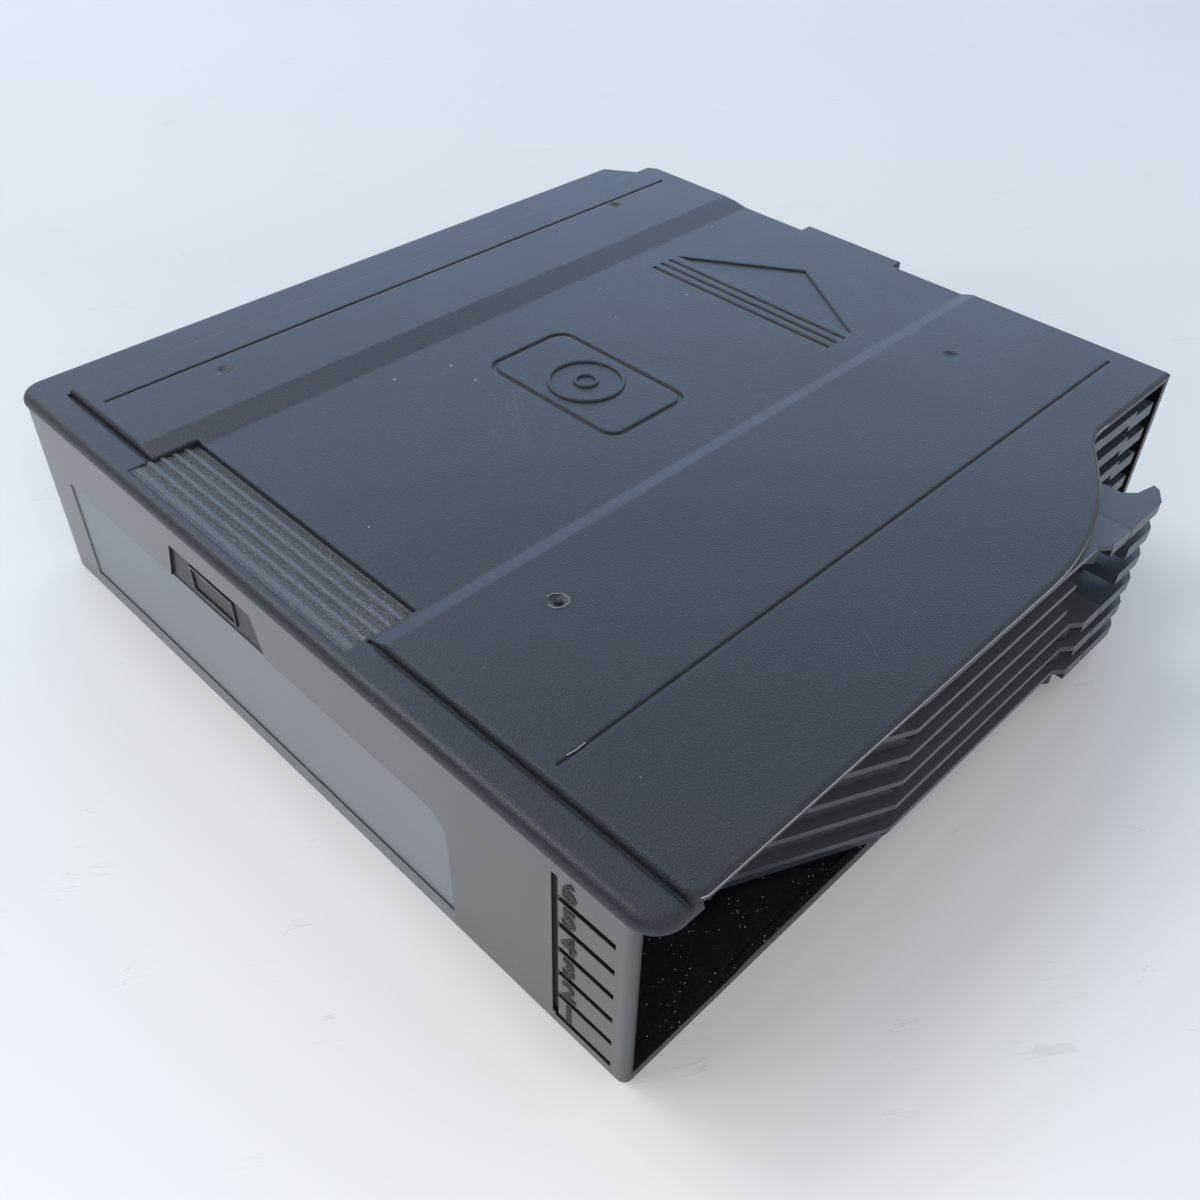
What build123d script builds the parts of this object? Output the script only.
from build123d import *
import math
import os

# Six-disc magazine of a car disc changer: a flat case that is open on its right side, with six
# trays that slide out of that side. Each tray carries one 120 mm disc in a round pocket.
# Lengths are in millimetres. The sketching frame has its corner at the near left foot of the
# case: X runs along the label face to the open side, Y into the player, Z up.

# ---- driving sizes -------------------------------------------------------------------------

# Discs and trays
disc_radius = 60.0
disc_clearance = 0.5        # pocket radius over disc radius
cup_wall = 1.2              # wall of the round pocket
cup_floor = 0.9
tray_count = 6
tray_height = 4.2
tray_gap = 0.5              # air between one tray and the next
deck_thickness = 2.0        # flat deck round the pocket
skirt_wall = 1.3            # deep edge under the deck, on the open side
skirt_inset = 1.3           # of the deep edge behind the rim of the deck
rim_depth = 0.9             # rim round the deck on the open side
cove_depth = 2.4            # under the rim the straight edge rounds in to the skirt
cove_sag = 0.35
gap_trays = (4, 5)          # the edges of these trays are cut away below their hooks
gap_length = 12.3
gap_end = 2.3               # past the joint
gap_wall = 1.6              # left outside the pocket's wall
gap_corner = 1.5
tray_tail = 2.5             # from the pocket to the tray's left end
tray_front = 5.5            # from the pocket to the tray's open-side edge
tail_corner = 20.0          # corners cut off the tail
bend_y = 47.0               # where the open-side edge turns into the slanted edge
slant_angle = 24.5
skirt_end_y = 27.5          # past this the slanted edge is the bare deck
keyhole_radius = 24.0       # clearance for the player's turntable
keyhole_slot = 40.0         # width of the slot for the pickup
keyhole_reach = 50.0

# Runners and rails
runner_reach = 1.8          # runner past the side of the tray
runner_height = 2.2
runner_drop = 1.0           # from the top of the tray to the top of the runner
runner_root = 5.0           # how far the runner reaches in under the deck
runner_overlap = 1.5        # of the hook's runner with its deck
running_gap = 0.3
rail_back = 1.0
rail_start = 11.0           # from the left side
near_rail_end = 8.0         # from the right end of the label wall
far_rail_end = 3.0          # from the end of the far wall
slide_travel = 92.0
stop_reach = 0.6            # the end stop stands this far into the groove
lug_length = 3.0
tail_arm = 12.0             # springy arm that carries the lug
arm_width = 2.6

# Hook at the far end of each tray's open side
hook_joint_far = 33.1       # from the tray's far side to the joint
hook_joint_back = 32.0      # from its open-side edge
hook_step = 1.3             # the hook stands this far past the tray's edge
hook_step_back = 5.0        # from the joint to the step
hook_slope = 1.7
hook_reach = 12.0           # from the joint to the tip of the finger
hook_tip = ((0, -3.0), (-1.6, -0.4), (-2.6, 0))     # outline of the tip, from its outer corner
hook_finger = 3.4           # width of the finger
hook_radius = 0.8
notch_reach = 7.0           # from the joint to the bottom of the notch
notch_ease = 1.6            # cut corner at the foot of the finger
notch_width = 5.0           # of the notch's bottom, from the corner of the plate
notch_slope = 6.5
hook_bay_gap = 0.2          # corner of the hook plate behind the edge of the cover
hook_runner_width = 4.1     # along the far side only the runner goes on
hook_tongue = 6.0           # tongue under the deck
hook_tongue_thickness = 1.0
hook_tongue_width = 4.0
hook_tongue_inset = 1.0     # from the deep edge
bump_rise = 0.2             # low pad at the corner of the plate
bump_length = 4.0
joint_gap = 0.05

# Case
wall = 1.3
floor_thickness = 1.5
floor_gap = 0.9             # under the lowest tray
cover_gap = 1.1             # over the highest tray
tail_gap = 0.3              # between the tray tails and their stops
stop_rib = 1.4              # ribs on the left wall that the tails stop against
stop_rib_y = 40.0
lip_proud = 0.3             # the lip stands proud of the label face
case_short = 2.0            # the case ends this far inside the trays
cover_overhang = 1.1        # and the cover this far outside them
corner_radius = 4.0
wall_end_radius = 1.2       # open end of the label wall
key_x = 9.5                 # cut corner that keys the case to the player
key_y = 6.5
bay_width = 13.1            # bay that uncovers the hooks
bay_start = 60.5            # where the bay's curve starts, from the far side
bay_radius = 52.0
bay_turn = 33.0
bay_throat_radius = 10.0
rim_height = 0.5
rim_width = 1.1
rim_start_y = 19.0
rim_lead = 3.0

# Cover
cover_skin = 1.2
strip_thickness = 1.5
panel_rise = 0.8
strip_x = 7.6
strip_y = 5.6
step_groove = 0.6           # dark groove along the foot of the near step
step_groove_depth = 0.5
lip_radius = 1.4
panel_corner = 2.0
panel_bevel = 0.4
channel_left = 28.0
channel_right = 84.5
channel_slope_left = 5.0
channel_slope_right = 2.5
channel_depth = 0.9
tab_left = 46.8
tab_right = 67.5
tab_reach = 2.5
line_width = 0.5
line_depth = 0.25
line_left = 14.5
line_right = 111.5
line_margin = 4.0
gate_radius = 1.4
gate_bottom = 0.5           # radius of the dimple's bottom
gate_depth = 0.3
mark_depth = 0.3
arrow_x = 57.8
arrow_width = 39.0
arrow_length = 12.6
arrow_tip = 13.0            # from the far side to the tip
stripe_count = 3
stripe_pitch = 2.1
stripe_width = 0.8
badge_width = 28.5
badge_length = 17.0
badge_y = 64.5
badge_line = 0.9
badge_corner = 3.0

# Grip
grip_left = 31.5
grip_right = 81.4
grip_near = 2.0
grip_far = 12.7
grip_fall = 0.85
grip_rib_pitch = 1.9
grip_rib_width = 0.9
grip_rib_height = 0.3
grip_rib_side = 0.15        # run of a rib's sloping side
grip_floor = 0.7
grip_rib_start = 2.6

# Springs that hold the trays shut
spring_thickness = 0.4
spring_y = 15.5             # from the side of the case to the middle of the fork
spring_length = 5.5
spring_height = 2.0
spring_plate_width = 9.0
blade_thickness = 1.6
blade_length = 7.5
blade_overlap = 1.0         # of the blade with the tail it stands on
blade_clearance = 0.05
flare_length = 1.2
flare_width = 0.6
spring_standoff = 1.3       # rib between the spring and the left wall
spring_rib = 0.9
spring_slot = 0.05

# Screws
screw_x = 9.5
screw_radius = 1.15
screw_head_radius = 2.2
screw_head_height = 1.1
screw_clearance = 0.3
screw_engagement = 10.0
screw_fit = 0.05            # round the shank in the cover's post
screw_tip_room = 1.0
boss_width = 5.6
boss_height = 12.5
cross_width = 0.7
cross_length = 2.6
cross_depth = 0.7

# Marks on the label face
label_left = 11.0
label_right = 100.6
label_low = 2.9
label_high = 20.6
label_depth = 0.25
plaque_left = 40.8
plaque_right = 64.1
plaque_slant = 1.8
plaque_top = 27.0
plaque_depth = 0.4
index_x = 118.8
index_end = 127.7
index_width = 1.0
index_depth = 0.45
index_drop = 0.5            # each line lies this far under the foot of its tray
index_head = 3.4

# ---- sizes that follow from them -----------------------------------------------------------

pocket_radius = disc_radius + disc_clearance
cup_radius = pocket_radius + cup_wall
side_stack = wall + rail_back + running_gap + runner_reach
case_depth = lip_proud + 2 * (cup_radius + side_stack)
face_y = lip_proud
near_wall_y = face_y + wall
far_wall_y = case_depth - wall
tray_near = face_y + side_stack
tray_far = case_depth - side_stack
disc_y = (tray_near + tray_far) / 2
tray_left = wall + stop_rib + tail_gap
disc_x = tray_left + tray_tail + pocket_radius
tray_right = disc_x + pocket_radius + tray_front
hook_right = tray_right + hook_step
hook_joint_x = tray_right - hook_joint_back
hook_joint_y = tray_far - hook_joint_far
hook_step_y = hook_joint_y - hook_step_back
hook_top = hook_joint_y + hook_reach
hook_notch_y = hook_joint_y + notch_reach
hook_runner_y = tray_far - hook_runner_width
case_width = tray_right - case_short
cover_width = tray_right + cover_overhang
bay_x = cover_width - bay_width
slant_run = math.tan(math.radians(slant_angle))
tray_pitch = tray_height + tray_gap
lowest_tray = floor_thickness + floor_gap
highest_top = lowest_tray + tray_count * tray_pitch - tray_gap
wall_top = highest_top + cover_gap
strip_top = wall_top + strip_thickness
case_height = strip_top + panel_rise
panel_underside = case_height - cover_skin
channel_top = case_height - channel_depth
channel_underside = channel_top - cover_skin
rail_top = wall_top - grip_floor - running_gap
gap_far = hook_joint_y + gap_end
gap_near = gap_far - gap_length
gap_x = disc_x + math.sqrt(cup_radius ** 2 - (gap_near - disc_y) ** 2) + gap_wall
stop_x = tray_left + tail_corner - tail_arm + lug_length + slide_travel + running_gap
gate_places = ((16.4, 112.9), (18.6, 25.3), (92.9, 111.5), (92.6, 25.7))
screw_places = ((screw_x, face_y + screw_x), (screw_x, case_depth - screw_x))


# ---- helpers -------------------------------------------------------------------------------

def block(x0, x1, y0, y1, z0, z1):
    """A rectangular block between two corners."""
    return Pos(x0, y0, z0) * Box(x1 - x0, y1 - y0, z1 - z0, align=(Align.MIN, Align.MIN, Align.MIN))


def slab(face, z0, z1):
    """A plan face, given thickness between two heights."""
    return Pos(0, 0, z0) * extrude(face, amount=z1 - z0)


def post(x, y, radius, z0, z1):
    """An upright round bar."""
    return Pos(x, y, z0) * Cylinder(radius, z1 - z0, align=(Align.CENTER, Align.CENTER, Align.MIN))


def boss(x, y, z0, z1):
    """A square screw boss."""
    half = boss_width / 2
    return block(x - half, x + half, y - half, y + half, z0, z1)


def along_y(points, y0, y1):
    """A profile of (x, z) points, run along Y."""
    face = make_face(Polyline(*[(x, y0, z) for x, z in points], close=True))
    return extrude(face, amount=y1 - y0, dir=(0, 1, 0))


def along_x(points, x0, x1):
    """A profile of (y, z) points, run along X."""
    face = make_face(Polyline(*[(x0, y, z) for y, z in points], close=True))
    return extrude(face, amount=x1 - x0, dir=(1, 0, 0))


def polygon(*points):
    """A flat plan face."""
    return make_face(Polyline(*points, close=True))


def on_circle(centre, radius, angle):
    """The point of a circle at an angle in degrees."""
    turn = math.radians(angle)
    return centre[0] + radius * math.cos(turn), centre[1] + radius * math.sin(turn)


def far_side(y):
    """The same distance from the far side as y is from the label face."""
    return case_depth + face_y - y


def tray_foot(number):
    """Height of a tray's underside. Tray 1 is the lowest, as the scale on the label face counts."""
    return lowest_tray + (number - 1) * tray_pitch


# ---- plans ---------------------------------------------------------------------------------

def case_plan(right_x, near_y):
    """Plan of the magazine: round near corners, keyed far corner, and the bay over the hooks."""
    bulge = (cover_width - bay_radius, case_depth - bay_start)
    bulge_end = on_circle(bulge, bay_radius, bay_turn)
    throat_x = bay_x + bay_throat_radius * (1 - math.cos(math.radians(bay_turn)))
    throat_run = (bulge_end[0] - throat_x) / math.tan(math.radians(bay_turn))
    throat_rise = bay_throat_radius * math.sin(math.radians(bay_turn))
    throat = (bay_x + bay_throat_radius, bulge_end[1] + throat_run + throat_rise)
    throat_start = on_circle(throat, -bay_throat_radius, bay_turn)
    sides = [
        Line((0, near_y), (cover_width, near_y)),
        Line((cover_width, near_y), (cover_width, bulge[1])),
        ThreePointArc((cover_width, bulge[1]), on_circle(bulge, bay_radius, bay_turn / 2), bulge_end),
        Line(bulge_end, throat_start),
        ThreePointArc(throat_start, on_circle(throat, -bay_throat_radius, bay_turn / 2),
                      (bay_x, throat[1])),
        Line((bay_x, throat[1]), (bay_x, case_depth)),
        Line((bay_x, case_depth), (key_x, case_depth)),
        Line((key_x, case_depth), (0, case_depth - key_y)),
        Line((0, case_depth - key_y), (0, near_y)),
    ]
    plan = make_face(sides)
    corners = plan.vertices().sort_by(Axis.Y)[:2]
    plan = fillet(corners, corner_radius)
    return plan & (Pos(right_x / 2, case_depth / 2) * Rectangle(right_x, case_depth))


def tray_plan():
    """Plan of a whole tray, without its hook."""
    slant_x = tray_right - (bend_y - tray_near) * slant_run
    plan = polygon(
        (tray_left, tray_near + tail_corner),
        (tray_left + tail_corner, tray_near),
        (slant_x, tray_near),
        (tray_right, bend_y),
        (tray_right, hook_step_y - hook_slope),
        (hook_right, hook_step_y),
        (hook_right, hook_joint_y - joint_gap),
        (hook_joint_x, hook_joint_y - joint_gap),
        (hook_joint_x, tray_far),
        (tray_left + tail_corner, tray_far),
        (tray_left, tray_far - tail_corner),
    )
    return plan + Pos(disc_x, disc_y) * Circle(cup_radius)


def hook_plan():
    """Plan of the hook plate: it fills the tray's far corner, and its finger stands free."""
    corner_x = bay_x - hook_bay_gap
    finger_x = hook_right - hook_finger
    plate = polygon(
        (hook_joint_x + joint_gap, hook_joint_y),
        (hook_right, hook_joint_y),
        *[(hook_right + x, hook_top + y) for x, y in hook_tip],
        (finger_x, hook_notch_y + notch_ease),
        (finger_x - notch_ease, hook_notch_y),
        (corner_x + notch_width, hook_notch_y),
        (corner_x, hook_notch_y + notch_slope),
        (corner_x, tray_far),
        (hook_joint_x + joint_gap, tray_far),
    )
    return plate - Pos(disc_x, disc_y) * Circle(cup_radius + joint_gap)


# ---- trays ---------------------------------------------------------------------------------

def tray(number):
    """A disc tray: deck, round pocket, keyhole, deep open-side edge, runners and spring blades."""
    foot = tray_foot(number)
    top = foot + tray_height
    deck_foot = top - deck_thickness
    plan = tray_plan()
    body = slab(plan, deck_foot, top)
    body += post(disc_x, disc_y, cup_radius, foot, top)

    outside = block(disc_x, hook_right, skirt_end_y, hook_step_y, foot, top - rim_depth)
    inset = offset(plan, -skirt_inset)
    body -= slab(plan - inset, foot, top - rim_depth) & outside
    body += slab(inset - offset(plan, -skirt_inset - skirt_wall), foot, top - rim_depth) & outside
    body += cove(top)

    runner_top = top - runner_drop
    runner_foot = runner_top - runner_height
    slant_x = tray_right - (bend_y - tray_near) * slant_run
    near_edge = tray_near - runner_reach
    far_edge = tray_far + runner_reach
    tail_x = tray_left + tail_corner - tail_arm
    body += block(tail_x + tail_arm, slant_x - runner_reach, near_edge, tray_near + runner_root,
                  runner_foot, runner_top)
    body += block(tail_x + tail_arm, hook_joint_x, tray_far - runner_root, far_edge,
                  runner_foot, runner_top)
    for edge_y, side in ((near_edge, 1), (far_edge, -1)):
        arm = sorted((edge_y, edge_y + side * arm_width))
        body += block(tail_x, tail_x + tail_arm + arm_width, *arm, runner_foot, runner_top)
        lug = sorted((edge_y, edge_y - side * stop_reach))
        body += block(tail_x, tail_x + lug_length, *lug, runner_foot, runner_top)

    blade_root = tray_left + tail_corner - (spring_y - side_stack)
    for middle in (face_y + spring_y, far_side(face_y + spring_y)):
        body += block(blade_root - blade_length, blade_root + blade_overlap, middle - blade_thickness / 2,
                      middle + blade_thickness / 2, runner_foot, runner_top)

    body -= post(disc_x, disc_y, pocket_radius, foot + cup_floor, top)
    body -= post(disc_x, disc_y, keyhole_radius, foot, top)
    body -= block(disc_x - keyhole_reach, disc_x, disc_y - keyhole_slot / 2,
                  disc_y + keyhole_slot / 2, foot, top)
    if number in gap_trays:
        body -= edge_gap(foot, top)
    return body


def edge_gap(foot, top):
    """The gap in the open-side edge of some trays, with round inner corners."""
    gap = block(gap_x, hook_right + gap_corner, gap_near, gap_far, foot, top)
    inner = gap.edges().filter_by(Axis.Z).group_by(Axis.X)[0]
    return fillet(inner, gap_corner)


def cove(top):
    """The round underside that joins the rim of a tray's straight edge to its skirt."""
    start = (tray_right, bend_y, top - rim_depth / 2)
    finish = (tray_right - skirt_inset, bend_y, top - rim_depth / 2 - cove_depth)
    middle = (tray_right - skirt_inset / 2 + cove_sag, bend_y, (start[2] + finish[2]) / 2)
    corner = (finish[0], bend_y, start[2])
    side = make_face([ThreePointArc(start, middle, finish), Line(finish, corner), Line(corner, start)])
    return extrude(side, amount=hook_step_y - hook_slope - bend_y, dir=(0, 1, 0))


def tray_hook(number):
    """The hook plate of a tray, with its tongue under the deck and its own stretch of runner."""
    foot = tray_foot(number)
    top = foot + tray_height
    deck_foot = top - deck_thickness
    corner_x = bay_x - hook_bay_gap
    plate = slab(hook_plan(), deck_foot, top)
    plate -= block(hook_joint_x, hook_right, hook_runner_y, case_depth, deck_foot, top)
    plate = fillet(plate.edges().filter_by(Axis.Z).group_by(Axis.X)[-1], hook_radius)

    runner_top = top - runner_drop
    runner_foot = runner_top - runner_height
    runner = block(hook_joint_x + joint_gap, corner_x, hook_runner_y - runner_overlap,
                   tray_far + runner_reach, runner_foot, runner_top)
    plate += runner - post(disc_x, disc_y, cup_radius + joint_gap, foot, top)

    tongue_x = tray_right - skirt_inset - skirt_wall - hook_tongue_inset - hook_tongue_width
    plate += block(tongue_x, tongue_x + hook_tongue_width, hook_joint_y - hook_tongue,
                   hook_joint_y + hook_tongue / 2, deck_foot - hook_tongue_thickness, deck_foot)
    bump_y = hook_notch_y + notch_slope
    plate += block(corner_x - bump_length, corner_x, bump_y, bump_y + bump_length,
                   top, top + bump_rise)
    if number in gap_trays:
        plate -= edge_gap(foot, top)
    return plate


# ---- case ----------------------------------------------------------------------------------

def label_marks():
    """What is sunk into the label face: label bed, thumb plaque and the scale of tray lines."""
    bed = block(label_left, label_right, face_y, face_y + label_depth, label_low, label_high)
    corner = bed.edges().filter_by(Axis.Y).sort_by_distance((label_right, face_y, label_high))[0]
    bed = fillet(corner, corner_radius)
    plaque = make_face(Polyline(
        (plaque_left, face_y, label_high), (plaque_left + plaque_slant, face_y, plaque_top),
        (plaque_right - plaque_slant, face_y, plaque_top), (plaque_right, face_y, label_high),
        close=True))
    marks = bed + extrude(plaque, amount=plaque_depth, dir=(0, 1, 0))
    lines = [tray_foot(number) - index_drop for number in range(1, tray_count + 1)]
    marks += block(index_x - index_width / 2, index_x + index_width / 2, face_y,
                   face_y + index_depth, lines[0], lines[-1] + index_head)
    for z in lines:
        marks += block(index_x, index_end, face_y, face_y + index_depth,
                       z - index_width / 2, z + index_width / 2)
    return marks


def bottom_case():
    """Lower shell: floor, label wall, left wall and far wall, open on the right."""
    plan = case_plan(case_width, face_y)
    inner = polygon(
        (wall, near_wall_y), (cover_width, near_wall_y), (cover_width, far_wall_y),
        (key_x + wall / 2, far_wall_y), (wall, case_depth - key_y - wall / 2))
    inner = fillet(inner.vertices().sort_by_distance((wall, near_wall_y))[0], corner_radius - wall)
    shell = slab(plan, 0, floor_thickness) + slab(plan - inner, 0, wall_top)
    wall_end = shell.edges().filter_by(Axis.Z).sort_by_distance((case_width, face_y, wall_top / 2))
    shell = fillet(wall_end[0], wall_end_radius)

    rim_foot = floor_thickness
    rim_top = rim_foot + rim_height
    rim_end = case_depth - bay_start
    shell += along_x([(rim_start_y, rim_foot), (rim_start_y + rim_lead, rim_top),
                      (rim_end, rim_top), (rim_end + rim_lead, rim_foot)],
                     case_width - rim_width, case_width)

    for y in (stop_rib_y, far_side(stop_rib_y)):
        shell += block(wall, wall + stop_rib, y - wall / 2, y + wall / 2, floor_thickness, wall_top)

    for x, y in screw_places:
        shell += boss(x, y, floor_thickness, boss_height)

    half = spring_plate_width / 2 + spring_slot
    back = wall + spring_standoff
    for middle in (face_y + spring_y, far_side(face_y + spring_y)):
        shell += block(wall, back, middle - wall / 2, middle + wall / 2, floor_thickness, wall_top)
        for low in (middle - half - spring_rib, middle + half):
            shell += block(wall, back + spring_thickness, low, low + spring_rib,
                           floor_thickness, wall_top)

    for x, y in screw_places:
        hole = post(x, y, screw_radius + screw_clearance, 0, boss_height)
        hole += post(x, y, screw_head_radius + screw_clearance, 0, screw_head_height)
        shell -= hole
    return shell - label_marks()


def rail(near):
    """A grooved rail that the runners of one side hang in, with a stop at the end of each groove."""
    end = case_width - near_rail_end if near else bay_x - far_rail_end
    face = near_wall_y + rail_back if near else far_wall_y - rail_back
    inward = 1 if near else -1
    depth = runner_reach
    back, front = face - inward * rail_back, face + inward * depth
    body = block(rail_start, end, min(back, front), max(back, front), floor_thickness, rail_top)
    for number in range(1, tray_count + 1):
        top = tray_foot(number) + tray_height - runner_drop + running_gap
        foot = top - runner_height - 2 * running_gap
        body -= block(rail_start, end, min(face, front), max(face, front), foot, top)
        deep = sorted((face, face - inward * stop_reach))
        body -= block(rail_start, stop_x, *deep, foot, top)
    return body


def spring(near):
    """A pressed strip whose forks grip a blade on the tail of each tray."""
    middle = face_y + spring_y if near else far_side(face_y + spring_y)
    back = wall + spring_standoff
    front = back + spring_thickness
    half = spring_plate_width / 2
    body = block(back, front, middle - half, middle + half, floor_thickness, wall_top)
    grip = blade_thickness / 2 + blade_clearance
    tip = back + spring_length
    for number in range(1, tray_count + 1):
        foot = tray_foot(number) + tray_height - runner_drop - runner_height
        for side in (1, -1):
            inner = middle + side * grip
            outer = inner + side * spring_thickness
            finger = polygon((back, inner), (tip, inner),
                             (tip + flare_length, inner + side * flare_width),
                             (tip + flare_length, outer + side * flare_width),
                             (tip, outer), (back, outer))
            body += slab(finger, foot, foot + spring_height)
    return body


def case_screw(x, y):
    """A tapping screw with a cross recess, driven up from below."""
    body = post(x, y, screw_head_radius, 0, screw_head_height)
    body += post(x, y, screw_radius, screw_head_height, boss_height + screw_engagement)
    for length, width in ((cross_length, cross_width), (cross_width, cross_length)):
        body -= block(x - length / 2, x + length / 2, y - width / 2, y + width / 2, 0, cross_depth)
    return body


# ---- cover ---------------------------------------------------------------------------------

def cover_marks():
    """Plain marks sunk into the channel: insertion arrow, stripes and the frame of a badge."""
    foot = channel_top - mark_depth
    tip_y = case_depth - arrow_tip
    base_y = tip_y - arrow_length
    half = arrow_width / 2
    marks = slab(polygon((arrow_x - half, base_y), (arrow_x + half, base_y), (arrow_x, tip_y)),
                 foot, channel_top)
    for number in range(1, stripe_count + 1):
        y = base_y - number * stripe_pitch
        marks += block(arrow_x - half, arrow_x + half, y - stripe_width / 2, y + stripe_width / 2,
                       foot, channel_top)
    frame = RectangleRounded(badge_width, badge_length, badge_corner)
    marks += slab(Pos(arrow_x, badge_y) * (frame - offset(frame, -badge_line)), foot, channel_top)
    return marks


def top_cover():
    """Upper shell: low strips along two sides, a raised panel with a sunk channel, and the tab."""
    plan = case_plan(cover_width, 0)
    hollow_x = strip_x + 2 * cover_skin
    hollow_y = strip_y + cover_skin
    near = Pos(cover_width / 2, hollow_y / 2) * Rectangle(cover_width, hollow_y)
    left = Pos(hollow_x / 2, case_depth / 2) * Rectangle(hollow_x, case_depth)
    strips = slab(plan & (near + left), wall_top, strip_top)
    rims = [edge for edge in strips.edges().group_by(Axis.Z)[-1]
            if edge.center().Y < strip_y or edge.center().X < strip_x]
    strips = fillet(rims, lip_radius)

    panel_plan = plan & (Pos((strip_x + cover_width) / 2, (strip_y + case_depth) / 2)
                         * Rectangle(cover_width - strip_x, case_depth - strip_y))
    panel = slab(panel_plan, panel_underside, case_height)
    corner = panel.edges().filter_by(Axis.Z).sort_by_distance((cover_width, strip_y, case_height))
    panel = fillet(corner[0], panel_corner)
    panel = chamfer(panel.edges().group_by(Axis.Z)[-1], panel_bevel)
    skirt = block(key_x, bay_x, far_wall_y, case_depth, wall_top, case_height - panel_bevel)
    body = strips + panel + skirt

    body += block(channel_left, channel_right, hollow_y - cover_skin, far_wall_y,
                  channel_underside, panel_underside)
    body += block(grip_left - cover_skin, grip_right + cover_skin, near_wall_y + running_gap,
                  grip_far + cover_skin, wall_top - grip_floor, channel_underside)
    body -= along_y([(channel_left, case_height), (channel_left + channel_slope_left, channel_top),
                     (channel_right - channel_slope_right, channel_top),
                     (channel_right, case_height)], strip_y, case_depth)
    body += block(tab_left, tab_right, far_wall_y, case_depth + tab_reach,
                  channel_underside, channel_top)
    body -= block(grip_left, grip_right, grip_near, grip_far, wall_top, case_height)

    body -= block(strip_x, cover_width, strip_y - step_groove, strip_y,
                  strip_top - step_groove_depth, strip_top)
    for x in (line_left, line_right):
        body -= block(x - line_width / 2, x + line_width / 2, strip_y + line_margin / 2,
                      case_depth - line_margin, case_height - line_depth, case_height)
    for x, y in gate_places:
        body -= Pos(x, y, case_height - gate_depth / 2) * Cone(gate_bottom, gate_radius, gate_depth)
    for x, y in screw_places:
        body += boss(x, y, boss_height, panel_underside)
        body -= post(x, y, screw_radius + screw_fit, boss_height,
                     boss_height + screw_engagement + screw_tip_room)
    return body - cover_marks()


def grip_pad():
    """A ribbed thumb ramp that falls away from the lip."""
    seat = wall_top
    near = grip_near + joint_gap
    far = grip_far - joint_gap
    near_top = strip_top - joint_gap
    far_top = channel_top - grip_fall
    slope = (far_top - near_top) / (far - near)

    def ramp(y):
        return near_top + slope * (y - near)

    profile = [(near, seat), (near, near_top)]
    rib = near + grip_rib_start
    while rib + grip_rib_width < far:
        for run, rise in ((0, 0), (grip_rib_side, grip_rib_height),
                          (grip_rib_width - grip_rib_side, grip_rib_height), (grip_rib_width, 0)):
            profile.append((rib + run, ramp(rib + run) + rise))
        rib += grip_rib_pitch
    profile += [(far, far_top), (far, seat)]
    return along_x(profile, grip_left + joint_gap, grip_right - joint_gap)


# ---- the whole magazine --------------------------------------------------------------------

origin_x = hook_right / 2
origin_y = (case_depth + tab_reach) / 2

pieces = {
    "bottom_case": bottom_case(),
    "top_cover": top_cover(),
    "grip_pad": grip_pad(),
    "near_rail": rail(near=True),
    "far_rail": rail(near=False),
    "near_spring": spring(near=True),
    "far_spring": spring(near=False),
    "case_screws": case_screw(*screw_places[0]) + case_screw(*screw_places[1]),
}
for number in range(1, tray_count + 1):
    pieces[f"tray_{number}"] = tray(number)
    pieces[f"tray_hook_{number}"] = tray_hook(number)

os.makedirs("parts", exist_ok=True)
for name, shape in pieces.items():
    placed = Pos(-origin_x, -origin_y, 0) * shape
    export_step(placed, f"parts/{name}.step")
    print(name, "solids", len(placed.solids()), "valid", all(s.is_valid for s in placed.solids()))
